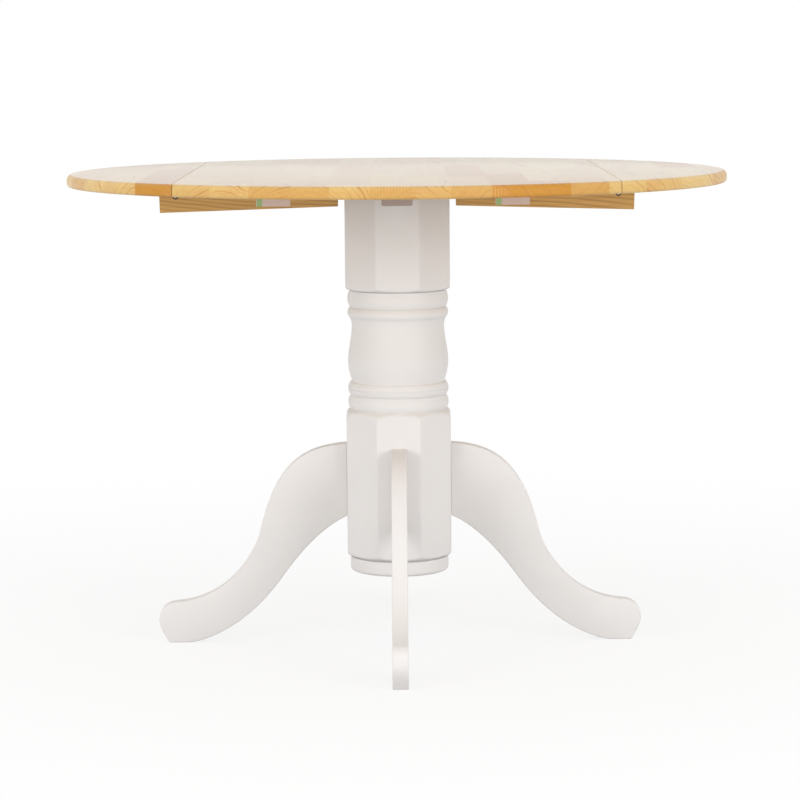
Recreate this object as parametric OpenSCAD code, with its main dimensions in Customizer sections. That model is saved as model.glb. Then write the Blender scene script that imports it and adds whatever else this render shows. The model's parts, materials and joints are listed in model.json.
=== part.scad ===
// Round drop-leaf table on a turned pedestal with four S-curved legs.
// Millimetres. Z is up, the floor is z = 0, the column stands on the origin,
// the seams between the fixed panel and the leaves run along Y.

/* [Top] */
// Height of the top surface above the floor
table_h = 775; // [720:1:800]
// Diameter of the whole top with both leaves up
top_d = 1066; // [1000:2:1120]
// Thickness of the panel and the leaves
top_t = 19; // [18:0.5:25]
// Width of the fixed panel between the two seams
centre_w = 668; // [620:2:720]
// Gap between the panel and a leaf
leaf_gap = 0.8; // [0.4:0.1:1.6]
// Radius of the upper edge of the top
edge_top_r = 9; // [6:0.5:11]
// Radius of the lower edge of the top
edge_bottom_r = 5; // [3:0.5:6]

/* [Leaf hinges] */
// Distance from the end of a seam to the middle of a hinge
hinge_in = 103; // [90:1:130]
// Length of a hinge
hinge_len = 70; // [50:1:80]
// Reach of a hinge plate from its pin
plate_w = 33; // [26:1:40]
// Thickness of a hinge plate
plate_t = 2; // [1.5:0.1:2.5]
// Radius of the knuckles
knuckle_r = 4; // [3.5:0.1:5]
// Radius of the hinge pin
pin_r = 2; // [1.5:0.1:2.4]
// Distance of the pin below the underside of the top
pin_drop = 3; // [2.6:0.1:4]

/* [Leaf supports] */
// Distance from the middle of the table to the bolt that an arm turns on
pivot_x = 118; // [114:1:124]
// Distance from the middle of the table to the tip of an arm
arm_reach = 386; // [376:1:390]
// Length of an arm on the inner side of its bolt
arm_heel = 22; // [18:1:23]
// Width of an arm
arm_w = 26; // [24:1:28]
// Depth of an arm's lower edge below the top at its heel
arm_heel_depth = 38; // [36:0.5:42]
// Depth of an arm's lower edge below the top at its tip
arm_tip_depth = 46.5; // [43:0.5:50]
// Depth of the rebate in an arm's tip on the side that leads as it swings in
rebate_lead = 12.5; // [12:0.1:13.5]
// Fall of the rebate's floor for each millimetre across the arm
rebate_slope = 0.18; // [0.17:0.01:0.2]
// Distance from the seam to the near end of the rest block under a leaf
rest_start = 8; // [6:1:12]
// Length of the rest block under a leaf
rest_len = 28; // [22:1:30]
// Distance from the middle of the table to the near end of the left arm's label
left_label_x = 173; // [150:1:180]
// Distance from the middle of the table to the near end of the right arm's label
right_label_x = 160; // [150:1:180]
// Length of a label
label_len = 55.5; // [40:0.5:60]
// Height of the label
label_h = 33; // [20:1:34]

/* [Mounting bar] */
// Width of the box-section bar that joins the column to the top
bar_w = 48; // [40:1:54]
// Height of the bar
bar_h = 24; // [20:1:28]
// Wall of the bar
bar_wall = 2; // [1.5:0.1:3]
// Length of the bar without its end plugs
bar_len = 520; // [420:5:560]

/* [Column] */
// Distance across the flats of the octagonal blocks
column_w = 170; // [162:1:178]
// Height of the column's lower end above the floor
column_z = 145; // [138:1:150]
// Height of the lower octagonal block
foot_block_h = 242; // [236:1:260]
// Height of the lowest bead, above the foot block
bead_a_h = 23; // [18:1:28]
// Height of the second bead
bead_b_h = 22; // [18:1:28]
// Height of the vase
vase_h = 105; // [90:1:120]
// Height of the third bead
bead_c_h = 17; // [14:1:22]
// Height of the top bead
bead_d_h = 28; // [22:1:32]
// Height over which a block's end is turned round
shoulder_h = 9; // [6:1:14]
// Radius of the turned part between two beads
groove_r = 78.5; // [76:0.5:80]
// Radius of the beads at their crown
bead_r = 82.3; // [81:0.1:84]
// Radius of the vase at its belly
belly_r = 82; // [80:0.5:84]
// Radius of the vase's neck
neck_r = 75.4; // [72:0.2:77]
// Height of the vase's belly above its foot
belly_z = 32; // [26:1:40]
// Distance across the flats of the hollow core
core_w = 90; // [80:1:96]
// Height of the hollow core
core_h = 205; // [190:1:230]

/* [Legs] */
// Distance from the middle of the table to the tip of a toe
leg_reach = 397.5; // [380:0.5:420]
// Thickness of a leg
leg_t = 25; // [22:0.5:28]
// Height of a leg's upper corner at the column
leg_top = 330; // [320:1:345]
// Height of a leg's lower corner at the column
leg_low = 210; // [200:1:216]
// Height of a foot over its flat
foot_h = 67; // [58:1:74]
// Length of the flat that a foot stands on
foot_flat = 31; // [26:1:36]
// Height of the lower bolt of a leg
leg_bolt_low = 245; // [240:1:252]
// Distance between the two bolts of a leg
leg_bolt_pitch = 50; // [44:1:54]

/* [Base disc] */
// Radius of the disc that closes the column below
disc_r = 80.5; // [78:0.5:82]
// Thickness of the disc
disc_t = 24; // [20:1:26]
// Shadow gap between the disc and the column
disc_gap = 2; // [1:0.5:3]
// Radius of the disc's lower edge
disc_edge_r = 6; // [3:0.5:8]

/* [Fasteners] */
// Radius of the bolts' shanks
bolt_r = 4; // [3.5:0.1:4.5]
// Radius of the head of a wood screw
screw_head_r = 3.8; // [3.4:0.1:4]
// Radius of the shank of a wood screw
screw_r = 1.9; // [1.6:0.1:2.1]
// Running clearance of pieces that move on each other
run_gap = 0.3; // [0.25:0.05:0.4]
// Clearance of pieces that are fitted together
fit_gap = 0.1; // [0.05:0.01:0.1]

/* [Hidden] */
$fn = 96;

wood = "burlywood";
paint = "whitesmoke";
steel = "silver";
dark_steel = "dimgray";

under_z = table_h - top_t;
seam_x = centre_w / 2;
top_r = top_d / 2;
slab = 2000;
// How far a cut passes the face that it starts from
over = 1;
// Least wood left over the end of a screw or an insert
cover = 4;
octagon = 8;
hexagon = 6;

// Hinges
hinge_y = sqrt(top_r * top_r - seam_x * seam_x) - hinge_in;
pin_z = under_z - pin_drop;
knuckles = 5;
knuckle_pitch = hinge_len / knuckles;
knuckle_relief_gap = 0.5;
knuckle_relief = knuckle_r + knuckle_relief_gap;
hinge_screw_len = 16;
hinge_screw_inset = 9;
hinge_screw_stagger = 8;
hinge_screw_x = plate_w - hinge_screw_inset;
hinge_screw_pitch = hinge_len / 2 - hinge_screw_inset;

// Leaf supports
glide_t = 1.2;
arm_top = glide_t + run_gap;
tip_x = arm_reach - pivot_x;
rebate_lap = 4;
rebate_x = seam_x - pivot_x - rebate_lap;
rebate_trail = rebate_lead + rebate_slope * arm_w;
pivot_washer_r = 11;
pivot_washer_t = 1.6;
bolt_head_h = 5.3;
bolt_head_w = 13;
tool_play = 1.5;
recess_r = pivot_washer_r + tool_play;
head_sunk = 2;
recess_z = arm_heel_depth - bolt_head_h - pivot_washer_t - run_gap - head_sunk;
bolt_seat = recess_z + run_gap + pivot_washer_t;
insert_r = 6.5;
insert_h = top_t - cover - 1;
insert_bolt_h = insert_h - fit_gap;
label_t = 0.2;
label_drop = 3;
rest_screw_head = 3;
rest_screw_len = rebate_lead - rest_screw_head + top_t - cover;
rest_screw_pitch = rest_len / 2;

// Mounting bar
bar_corner_r = 3;
bar_inner_corner_r = 1;
bar_screw_end = 40;
bar_screw_side = 12;
bar_screw_y = bar_len / 2 - bar_screw_end;
bar_screw_x = bar_w / 2 - bar_screw_side;
bar_screw_len = bar_wall + top_t - cover;
bar_access_r = screw_head_r + tool_play;
bar_bolt_y = 42;
bar_bolt_len = 80;
bar_washer_r = 10;
bar_washer_t = 1.6;
bar_washer_play = 0.6;
bar_bolt_access_r = bar_washer_r + bar_washer_play;
plug_flange = 2.5;
plug_len = 12;
bar_z = under_z - bar_h;

// Column
block_r = column_w / 2 / cos(180 / octagon);
turned_z = column_z + foot_block_h;
bead_b_z = turned_z + bead_a_h;
vase_z = bead_b_z + bead_b_h;
bead_c_z = vase_z + vase_h;
bead_d_z = bead_c_z + bead_c_h;
head_z = bead_d_z + bead_d_h;
turning_r = block_r + 2 * over;
neck_drop = 13;
neck_z = vase_h - neck_drop;
bead_crown = bead_r - groove_r;
shoulder_crown = 2;
foot_shoulder_h = shoulder_h + 5;
quirk = 1;
shoulder_steps = 6;
bead_steps = 14;
vase_steps = 30;
scribe_w = 1.6;
scribe_depth = 1;

// Legs
leg_x = column_w / 2;
leg_span = leg_reach - leg_x;
leg_bolt_in = 45;
leg_washer_r = 10;
leg_washer_t = 1.6;
nut_w = 13;
nut_h = 6.5;
bolt_end = 4;
leg_steps = 12;
screw_point = 3;
screw_tip_r = 0.5;
// Points of a leg's outline: the share of the way from the column to the tip of the toe, then the
// share of the height in the comment
waist = [0.467, 0.543]; // of leg_top
shoulder_out = [0.192, 0.985]; // of leg_top
shoulder_in = [0.374, 0.939]; // of leg_top
shin_out = [0.477, 0.5]; // of leg_top
shin_in = [0.592, 1.09]; // of foot_h
instep = [0.912, 1]; // of foot_h
toe_in = [0.965, 0.985]; // of foot_h
toe_out = [1, 0.8]; // of foot_h
toe = [1, 0.57]; // of foot_h
toe_under = [1, 0.39]; // of foot_h
tread_in = [0.976, 0.21]; // of foot_h
tread = [0.947, 0]; // of foot_h
heel_out = 5;
calf_in = [0.595, 0.09]; // of foot_h
hollow = [0.365, 0.48]; // of leg_low
hollow_up = [0.294, 0.624]; // of leg_low
thigh_in = [0.17, 0.886]; // of leg_low

// Base disc
disc_z = column_z - disc_gap - disc_t;
disc_neck_step = 5;
disc_neck_r = disc_r - disc_neck_step;
spigot_h = 8;
disc_screw_at = (core_w + column_w) / 4;
disc_screw_grip = 14;
disc_screw_len = disc_t + disc_screw_grip;
disc_screws = 3;
disc_screw_turn = 30;

function lerp(a, b, t) = a + (b - a) * t;
function bezier(a, b, c, d, steps) =
    [for (i = [0 : steps - 1]) let (t = i / steps, s = 1 - t)
        s * s * s * a + 3 * s * s * t * b + 3 * s * t * t * c + t * t * t * d];

// Circular arc from p to q that bulges to the right of the way from p to q by the given crown
function arc(p, q, crown, steps) =
    let (chord = norm(q - p), r = (chord * chord / 4 + crown * crown) / (2 * crown),
        along = (q - p) / chord, side = [along[1], -along[0]],
        centre = (p + q) / 2 - side * (r - crown), half = asin(chord / 2 / r))
    [for (i = [0 : steps]) let (a = lerp(-half, half, i / steps))
        centre + r * (sin(a) * along + cos(a) * side)];

// The vase swells from its foot to the belly in a quarter wave, falls to the neck in a half wave
// and flares a little under the next bead
function vase_r(z) =
    z < belly_z ? belly_r - (belly_r - neck_r) * (1 - cos(90 * (belly_z - z) / belly_z))
    : z < neck_z ? belly_r - (belly_r - neck_r) * (1 - cos(180 * (z - belly_z) / (neck_z - belly_z))) / 2
    : neck_r + (groove_r - neck_r) * (1 - cos(90 * (z - neck_z) / (vase_h - neck_z)));
function vase_points(steps) =
    [for (i = [0 : steps]) let (z = vase_h * i / steps) [vase_r(z), vase_z + z]];

// Frames that the pieces are placed in
module at_side(side) {
    rotate([0, 0, side > 0 ? 0 : 180]) children();
}
module at_hinge(side, end) {
    at_side(side) translate([seam_x, side * end * hinge_y, pin_z]) children();
}
module at_pivot(side) {
    at_side(side) translate([pivot_x, 0, under_z]) children();
}
module around_legs() {
    for (turn = [0 : 90 : 270]) rotate([0, 0, turn]) children();
}

// Fasteners
// A wood screw that points up, with its head's flat face on z = 0
module wood_screw(len, grow = 0) {
    cone_h = screw_head_r - screw_r;
    shank_r = screw_r + grow;
    translate([0, 0, -grow]) cylinder(r1 = screw_head_r + grow, r2 = shank_r, h = cone_h + grow);
    cylinder(r = shank_r, h = len - screw_point + grow);
    translate([0, 0, len - screw_point])
        cylinder(r1 = shank_r, r2 = screw_tip_r + grow, h = screw_point + grow);
}
module hex_prism(flats, h) {
    cylinder(r = flats / 2 / cos(180 / hexagon), h = h, $fn = hexagon);
}
module ring(outer_r, inner_r, h) {
    difference() {
        cylinder(r = outer_r, h = h);
        translate([0, 0, -over]) cylinder(r = inner_r, h = h + 2 * over);
    }
}
// A rectangle about the middle with exact round corners
module round_rect(w, h, r) {
    square([w - 2 * r, h], center = true);
    square([w, h - 2 * r], center = true);
    for (x = [-1, 1], y = [-1, 1]) translate([x * (w / 2 - r), y * (h / 2 - r)]) circle(r = r);
}

// Top
module top_profile() {
    square([top_r - edge_top_r, top_t]);
    square([top_r - edge_bottom_r, top_t - edge_top_r]);
    translate([0, edge_bottom_r]) square([top_r, top_t - edge_top_r - edge_bottom_r]);
    translate([top_r - edge_top_r, top_t - edge_top_r]) intersection() {
        circle(r = edge_top_r);
        square(edge_top_r);
    }
    translate([top_r - edge_bottom_r, edge_bottom_r]) intersection() {
        circle(r = edge_bottom_r);
        translate([0, -edge_bottom_r]) square(edge_bottom_r);
    }
}
module top_disc() {
    translate([0, 0, under_z]) rotate_extrude() top_profile();
}
module knuckle_groove(side, end) {
    at_hinge(side, end) rotate([90, 0, 0])
        cylinder(r = knuckle_relief, h = hinge_len + 2 * over, center = true);
}
module hinge_screws(side, end, plate_side, grow = 0) {
    at_hinge(side, end) for (place = [-1, 0, 1])
        translate([plate_side * (hinge_screw_x - (place == 0 ? hinge_screw_stagger : 0)),
            place * hinge_screw_pitch, pin_drop - plate_t]) wood_screw(hinge_screw_len, grow);
}
module bar_screw_places() {
    for (end = [-1, 1], x = [-1, 1])
        translate([x * bar_screw_x, end * bar_screw_y, under_z - bar_wall]) children();
}
module centre_panel() {
    color(wood) difference() {
        intersection() {
            top_disc();
            translate([-seam_x + leaf_gap / 2, -slab / 2, 0]) cube([centre_w - leaf_gap, slab, slab]);
        }
        for (side = [-1, 1], end = [-1, 1]) {
            knuckle_groove(side, end);
            hinge_screws(side, end, -1, fit_gap);
        }
        for (side = [-1, 1]) at_pivot(side) translate([0, 0, -over])
            cylinder(r = insert_r + fit_gap, h = insert_h + over + fit_gap);
        bar_screw_places() wood_screw(bar_screw_len, fit_gap);
    }
}
module leaf(side) {
    color(wood) difference() {
        intersection() {
            top_disc();
            at_side(side) translate([seam_x + leaf_gap / 2, -slab / 2, 0]) cube(slab);
        }
        for (end = [-1, 1]) {
            knuckle_groove(side, end);
            hinge_screws(side, end, 1, fit_gap);
        }
        rest_screws(side, fit_gap);
    }
}
module left_leaf() leaf(-1);
module right_leaf() leaf(1);

// Leaf hinges, about a pin along Y at the origin, with the underside of the top at z = pin_drop
module knuckle_run(first, r, grow) {
    for (i = [first : 2 : knuckles - 1])
        translate([0, -hinge_len / 2 + i * knuckle_pitch - grow, 0]) rotate([-90, 0, 0])
            cylinder(r = r, h = knuckle_pitch + 2 * grow);
}
// plate_side is -1 for the plate under the panel and 1 for the one under the leaf
module hinge_plate(plate_side) {
    own = plate_side < 0 ? 0 : 1;
    difference() {
        union() {
            translate([plate_side < 0 ? -plate_w : 0, -hinge_len / 2, pin_drop - plate_t])
                cube([plate_w, hinge_len, plate_t]);
            knuckle_run(own, knuckle_r, -run_gap / 2);
        }
        knuckle_run(1 - own, knuckle_relief, run_gap / 2);
        rotate([90, 0, 0]) cylinder(r = pin_r + fit_gap, h = hinge_len + 2 * over, center = true);
    }
}
module fixed_plate(side, end) {
    color(dark_steel) difference() {
        at_hinge(side, end) hinge_plate(-1);
        hinge_screws(side, end, -1, fit_gap);
    }
}
module leaf_plate(side, end) {
    color(dark_steel) difference() {
        at_hinge(side, end) hinge_plate(1);
        hinge_screws(side, end, 1, fit_gap);
    }
}
module hinge_pin(side, end) {
    color(steel) at_hinge(side, end) rotate([90, 0, 0]) cylinder(r = pin_r, h = hinge_len, center = true);
}
module left_front_fixed_plate() fixed_plate(-1, -1);
module left_front_leaf_plate() leaf_plate(-1, -1);
module left_front_pin() hinge_pin(-1, -1);
module left_back_fixed_plate() fixed_plate(-1, 1);
module left_back_leaf_plate() leaf_plate(-1, 1);
module left_back_pin() hinge_pin(-1, 1);
module right_front_fixed_plate() fixed_plate(1, -1);
module right_front_leaf_plate() leaf_plate(1, -1);
module right_front_pin() hinge_pin(1, -1);
module right_back_fixed_plate() fixed_plate(1, 1);
module right_back_leaf_plate() leaf_plate(1, 1);
module right_back_pin() hinge_pin(1, 1);
module fixed_hinge_screws() {
    color(dark_steel) for (side = [-1, 1], end = [-1, 1]) hinge_screws(side, end, -1);
}
module left_leaf_hinge_screws() {
    color(dark_steel) for (end = [-1, 1]) hinge_screws(-1, end, 1);
}
module right_leaf_hinge_screws() {
    color(dark_steel) for (end = [-1, 1]) hinge_screws(1, end, 1);
}

// Leaf supports, about the pivot bolt with the underside of the top at z = 0.
// An arm points along +X and swings in towards -Y, so its rebate is shallow on that side.
module arm_outline() {
    undercut = (arm_tip_depth - arm_heel_depth) / (tip_x + arm_heel) * (arm_tip_depth - arm_top);
    polygon([[-arm_heel, -arm_top], [tip_x, -arm_top], [tip_x - undercut, -arm_tip_depth],
        [-arm_heel, -arm_heel_depth]]);
}
// Section across the arm of what lies above the rebate's floor, lifted by the given clearance
module rebate_section(lift, top) {
    polygon([[-arm_w / 2, lift - rebate_lead], [arm_w / 2, lift - rebate_trail],
        [arm_w / 2, top], [-arm_w / 2, top]]);
}
module along_x(x, len) {
    translate([x, 0, 0]) rotate([90, 0, 90]) linear_extrude(len) children();
}
module arm() {
    difference() {
        rotate([90, 0, 0]) linear_extrude(arm_w, center = true) arm_outline();
        along_x(rebate_x, tip_x) rebate_section(0, over);
        translate([0, 0, -arm_tip_depth]) cylinder(r = bolt_r + fit_gap, h = arm_tip_depth);
        translate([0, 0, -arm_tip_depth]) cylinder(r = recess_r, h = arm_tip_depth - recess_z);
    }
}
module left_arm() color(wood) at_pivot(-1) arm();
module right_arm() color(wood) at_pivot(1) arm();

// The labels are on the faces that are to the front while the leaves are up
module arm_label(side) {
    color("white") translate([side > 0 ? right_label_x : -left_label_x - label_len, -arm_w / 2 - label_t,
        under_z - arm_top - label_drop - label_h]) cube([label_len, label_t, label_h]);
}
module left_arm_label() arm_label(-1);
module right_arm_label() arm_label(1);

module rest_screw_places(side, z) {
    at_side(side) for (place = [-1, 1])
        translate([seam_x + rest_start + rest_len / 2 + place * rest_screw_pitch / 2, 0, z]) children();
}
module rest_screws(side, grow = 0) {
    rest_screw_places(side, under_z - rebate_lead + rest_screw_head) wood_screw(rest_screw_len, grow);
}
module rest_block(side) {
    color(wood) difference() {
        at_side(side) translate([0, 0, under_z]) along_x(seam_x + rest_start, rest_len)
            rebate_section(run_gap, 0);
        rest_screws(side, fit_gap);
        rest_screw_places(side, under_z - rebate_trail)
            cylinder(r = screw_head_r + fit_gap, h = rebate_slope * arm_w + rest_screw_head);
    }
}
module left_rest_block() rest_block(-1);
module right_rest_block() rest_block(1);
module left_rest_screws() color(steel) rest_screws(-1);
module right_rest_screws() color(steel) rest_screws(1);

module pivot_bolt(side) {
    color(steel) at_pivot(side) translate([0, 0, -bolt_seat]) {
        cylinder(r = bolt_r, h = bolt_seat + insert_bolt_h);
        translate([0, 0, -bolt_head_h]) hex_prism(bolt_head_w, bolt_head_h);
    }
}
module left_pivot_bolt() pivot_bolt(-1);
module right_pivot_bolt() pivot_bolt(1);
module pivot_inserts() {
    color("gold") for (side = [-1, 1]) at_pivot(side) ring(insert_r, bolt_r, insert_h);
}
module pivot_washers() {
    color(steel) for (side = [-1, 1]) at_pivot(side)
        translate([0, 0, -bolt_seat]) ring(pivot_washer_r, bolt_r, pivot_washer_t);
}
module glide_washers() {
    color("white") for (side = [-1, 1]) at_pivot(side)
        translate([0, 0, -glide_t]) ring(pivot_washer_r, bolt_r, glide_t);
}

// Mounting bar
module bar_section(shrink) {
    round_rect(bar_w - 2 * shrink, bar_h - 2 * shrink, max(bar_corner_r - shrink, bar_inner_corner_r));
}
module along_y(len) {
    rotate([90, 0, 0]) linear_extrude(len, center = true) children();
}
module mounting_bar() {
    color(steel) difference() {
        translate([0, 0, bar_z + bar_h / 2]) difference() {
            along_y(bar_len) bar_section(0);
            along_y(bar_len + 2 * over) bar_section(bar_wall);
        }
        bar_screw_places() wood_screw(bar_screw_len, fit_gap);
        bar_screw_places() translate([0, 0, -bar_h]) cylinder(r = bar_access_r, h = bar_h - bar_wall);
        for (end = [-1, 1]) translate([0, end * bar_bolt_y, 0]) {
            translate([0, 0, bar_z - over]) cylinder(r = bolt_r + fit_gap, h = bar_h / 2);
            translate([0, 0, bar_z + bar_h / 2]) cylinder(r = bar_bolt_access_r, h = bar_h);
        }
    }
}
module bar_end_plugs() {
    color("dimgray") for (end = [0, 180]) rotate([0, 0, end])
        translate([0, bar_len / 2, bar_z + bar_h / 2]) {
            translate([0, plug_flange / 2, 0]) along_y(plug_flange) bar_section(0);
            translate([0, -plug_len / 2, 0]) along_y(plug_len) bar_section(bar_wall + fit_gap);
        }
}
module bar_panel_screws() color(steel) bar_screw_places() wood_screw(bar_screw_len);
module bar_bolt_places(z) {
    for (end = [-1, 1]) translate([0, end * bar_bolt_y, z]) children();
}
module bar_column_bolts() {
    color(steel) bar_bolt_places(bar_z + bar_wall + bar_washer_t) {
        hex_prism(bolt_head_w, bolt_head_h);
        translate([0, 0, -bar_bolt_len]) cylinder(r = bolt_r, h = bar_bolt_len);
    }
}
module bar_column_washers() {
    color(steel) bar_bolt_places(bar_z + bar_wall) ring(bar_washer_r, bolt_r, bar_washer_t);
}

// Column
module octagon_prism(flats, h) {
    rotate([0, 0, 180 / octagon]) cylinder(r = flats / 2 / cos(180 / octagon), h = h, $fn = octagon);
}
module turned_profile() {
    polygon(concat(
        [[0, column_z], [groove_r, column_z]],
        arc([groove_r, column_z], [turning_r, column_z + shoulder_h], shoulder_crown, shoulder_steps),
        arc([turning_r, turned_z - foot_shoulder_h], [groove_r, turned_z], shoulder_crown, shoulder_steps),
        arc([groove_r, turned_z], [groove_r, bead_b_z], bead_crown, bead_steps),
        arc([groove_r, bead_b_z], [groove_r, vase_z - quirk], bead_crown, bead_steps),
        vase_points(vase_steps),
        arc([groove_r, bead_c_z], [groove_r, bead_d_z], bead_crown, bead_steps),
        arc([groove_r, bead_d_z], [groove_r, head_z - quirk], bead_crown, bead_steps),
        arc([groove_r, head_z], [turning_r, head_z + shoulder_h], shoulder_crown, shoulder_steps),
        [[turning_r, under_z], [0, under_z]]));
}
module scribe_line() {
    translate([0, 0, (bead_b_z + vase_z - quirk) / 2 - scribe_w / 2])
        ring(turning_r, bead_r - scribe_depth, scribe_w);
}
module leg_bolt_places() {
    around_legs() for (z = [leg_bolt_low, leg_bolt_low + leg_bolt_pitch])
        translate([0, 0, z]) rotate([0, 90, 0]) children();
}
module column() {
    color(paint) difference() {
        intersection() {
            translate([0, 0, column_z]) octagon_prism(column_w, under_z - column_z);
            rotate_extrude() turned_profile();
        }
        scribe_line();
        translate([0, 0, column_z - over]) octagon_prism(core_w, core_h + over);
        translate([-bar_w / 2 - fit_gap, -slab / 2, bar_z - fit_gap])
            cube([bar_w + 2 * fit_gap, slab, slab]);
        leg_bolt_places() cylinder(r = bolt_r + fit_gap, h = slab);
        bar_bolt_places(bar_z - bar_bolt_len) cylinder(r = bolt_r + fit_gap, h = bar_bolt_len + over);
        base_disc_screw_places() wood_screw(disc_screw_len, fit_gap);
    }
}

// Legs, drawn in X and Z for the right leg
function leg_at(point, height) = [leg_x + point[0] * leg_span, point[1] * height];
function leg_points() = let (
        heel = leg_at(tread, foot_h) - [foot_flat, 0])
    concat(
        bezier(leg_at([0, 1], leg_top), leg_at(shoulder_out, leg_top), leg_at(shoulder_in, leg_top),
            leg_at(waist, leg_top), leg_steps),
        bezier(leg_at(waist, leg_top), leg_at(shin_out, leg_top), leg_at(shin_in, foot_h),
            leg_at(instep, foot_h), leg_steps),
        bezier(leg_at(instep, foot_h), leg_at(toe_in, foot_h), leg_at(toe_out, foot_h),
            leg_at(toe, foot_h), leg_steps / 2),
        bezier(leg_at(toe, foot_h), leg_at(toe_under, foot_h), leg_at(tread_in, foot_h),
            leg_at(tread, foot_h), leg_steps / 2),
        [leg_at(tread, foot_h)],
        bezier(heel, heel - [heel_out, 0], leg_at(calf_in, foot_h), leg_at(hollow, leg_low), leg_steps),
        bezier(leg_at(hollow, leg_low), leg_at(hollow_up, leg_low), leg_at(thigh_in, leg_low),
            leg_at([0, 1], leg_low), leg_steps),
        [leg_at([0, 1], leg_low)]);
module leg(turn) {
    color(paint) rotate([0, 0, turn]) difference() {
        rotate([90, 0, 0]) linear_extrude(leg_t, center = true) polygon(leg_points());
        for (z = [leg_bolt_low, leg_bolt_low + leg_bolt_pitch])
            translate([leg_x - over, 0, z]) rotate([0, 90, 0])
                cylinder(r = bolt_r + fit_gap, h = leg_bolt_in + over + fit_gap);
    }
}
module right_leg() leg(0);
module back_leg() leg(90);
module left_leg() leg(180);
module front_leg() leg(270);

module leg_bolts() {
    start = core_w / 2 - leg_washer_t - nut_h - bolt_end;
    color(steel) leg_bolt_places() translate([0, 0, start])
        cylinder(r = bolt_r, h = leg_x + leg_bolt_in - start);
}
module leg_washers() {
    color(steel) leg_bolt_places() translate([0, 0, core_w / 2 - leg_washer_t])
        ring(leg_washer_r, bolt_r, leg_washer_t);
}
module leg_nuts() {
    color(steel) leg_bolt_places() translate([0, 0, core_w / 2 - leg_washer_t - nut_h]) difference() {
        hex_prism(nut_w, nut_h);
        translate([0, 0, -over]) cylinder(r = bolt_r, h = nut_h + 2 * over);
    }
}

// Base disc
module base_disc_screw_places() {
    for (i = [0 : disc_screws - 1]) rotate([0, 0, disc_screw_turn + i * 360 / disc_screws])
        translate([disc_screw_at, 0, disc_z]) children();
}
module disc_profile() {
    translate([0, disc_edge_r]) square([disc_r, disc_t - disc_edge_r]);
    square([disc_r - disc_edge_r, disc_t]);
    translate([disc_r - disc_edge_r, disc_edge_r]) circle(r = disc_edge_r);
    square([disc_neck_r, disc_t + disc_gap]);
    square([core_w / 2 - fit_gap, disc_t + disc_gap + spigot_h]);
}
module base_disc() {
    color(paint) difference() {
        translate([0, 0, disc_z]) rotate_extrude() disc_profile();
        base_disc_screw_places() wood_screw(disc_screw_len, fit_gap);
    }
}
module base_disc_screws() color(steel) base_disc_screw_places() wood_screw(disc_screw_len);

centre_panel();
left_leaf();
right_leaf();
left_front_fixed_plate();
left_front_leaf_plate();
left_front_pin();
left_back_fixed_plate();
left_back_leaf_plate();
left_back_pin();
right_front_fixed_plate();
right_front_leaf_plate();
right_front_pin();
right_back_fixed_plate();
right_back_leaf_plate();
right_back_pin();
fixed_hinge_screws();
left_leaf_hinge_screws();
right_leaf_hinge_screws();
left_arm();
right_arm();
left_arm_label();
right_arm_label();
left_rest_block();
right_rest_block();
left_rest_screws();
right_rest_screws();
left_pivot_bolt();
right_pivot_bolt();
pivot_inserts();
pivot_washers();
glide_washers();
mounting_bar();
bar_end_plugs();
bar_panel_screws();
bar_column_bolts();
bar_column_washers();
column();
front_leg();
back_leg();
left_leg();
right_leg();
leg_bolts();
leg_washers();
leg_nuts();
base_disc();
base_disc_screws();
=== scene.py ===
"""A round drop-leaf table: a lacquered rubberwood top on a white turned pedestal.

Lengths are in metres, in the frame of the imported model: Z up, the floor at z = 0, the column on
the Z axis, the seams between the fixed panel and the leaves along Y.
"""
import json
import math
from functools import partial

import bmesh
import bpy
from bpy.props import FloatProperty, FloatVectorProperty, IntProperty, PointerProperty
from bpy.types import Operator, Panel, PropertyGroup
from mathutils import Matrix, Vector


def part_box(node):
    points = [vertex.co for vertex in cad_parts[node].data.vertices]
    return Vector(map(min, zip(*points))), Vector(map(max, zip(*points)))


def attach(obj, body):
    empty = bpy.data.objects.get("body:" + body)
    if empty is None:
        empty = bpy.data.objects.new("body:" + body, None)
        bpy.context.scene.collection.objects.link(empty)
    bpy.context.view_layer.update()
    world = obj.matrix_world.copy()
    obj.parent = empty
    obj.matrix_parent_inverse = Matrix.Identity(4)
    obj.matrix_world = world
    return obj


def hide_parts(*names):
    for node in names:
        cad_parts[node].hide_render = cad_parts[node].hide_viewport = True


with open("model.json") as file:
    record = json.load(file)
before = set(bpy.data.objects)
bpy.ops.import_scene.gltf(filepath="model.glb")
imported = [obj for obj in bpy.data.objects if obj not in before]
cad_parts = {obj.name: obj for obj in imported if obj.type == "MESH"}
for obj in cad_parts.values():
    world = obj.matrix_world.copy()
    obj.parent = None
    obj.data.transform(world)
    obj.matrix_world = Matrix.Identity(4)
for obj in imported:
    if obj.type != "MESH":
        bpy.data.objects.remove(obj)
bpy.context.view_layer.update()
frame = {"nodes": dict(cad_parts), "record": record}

bl_info = {
    "name": "Drop-leaf table",
    "version": (1, 0),
    "blender": (4, 5, 0),
    "location": "View3D > Sidebar > Table",
    "description": "Dresses the packed model of a round drop-leaf table",
    "category": "Object",
}

MM = 0.001
# Room between pieces that fit into each other, and the distance of vertices that are one
PLAY, SAME_PLACE = 0.1 * MM, 0.001 * MM
SIDES = {"left": -1, "right": 1}
ENDS = {"front": -1, "back": 1}
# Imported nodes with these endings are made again, with threads and recesses
MADE_AGAIN = ("_screws", "_pivot_bolt")

# How many pieces of wood are counted from one stave to the next, so that neighbours don't match
PIECES_APART = 6.73
# Each piece reads its noise somewhere else, and this is how far apart those places can lie
PATTERN_STEP = 40.0
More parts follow.
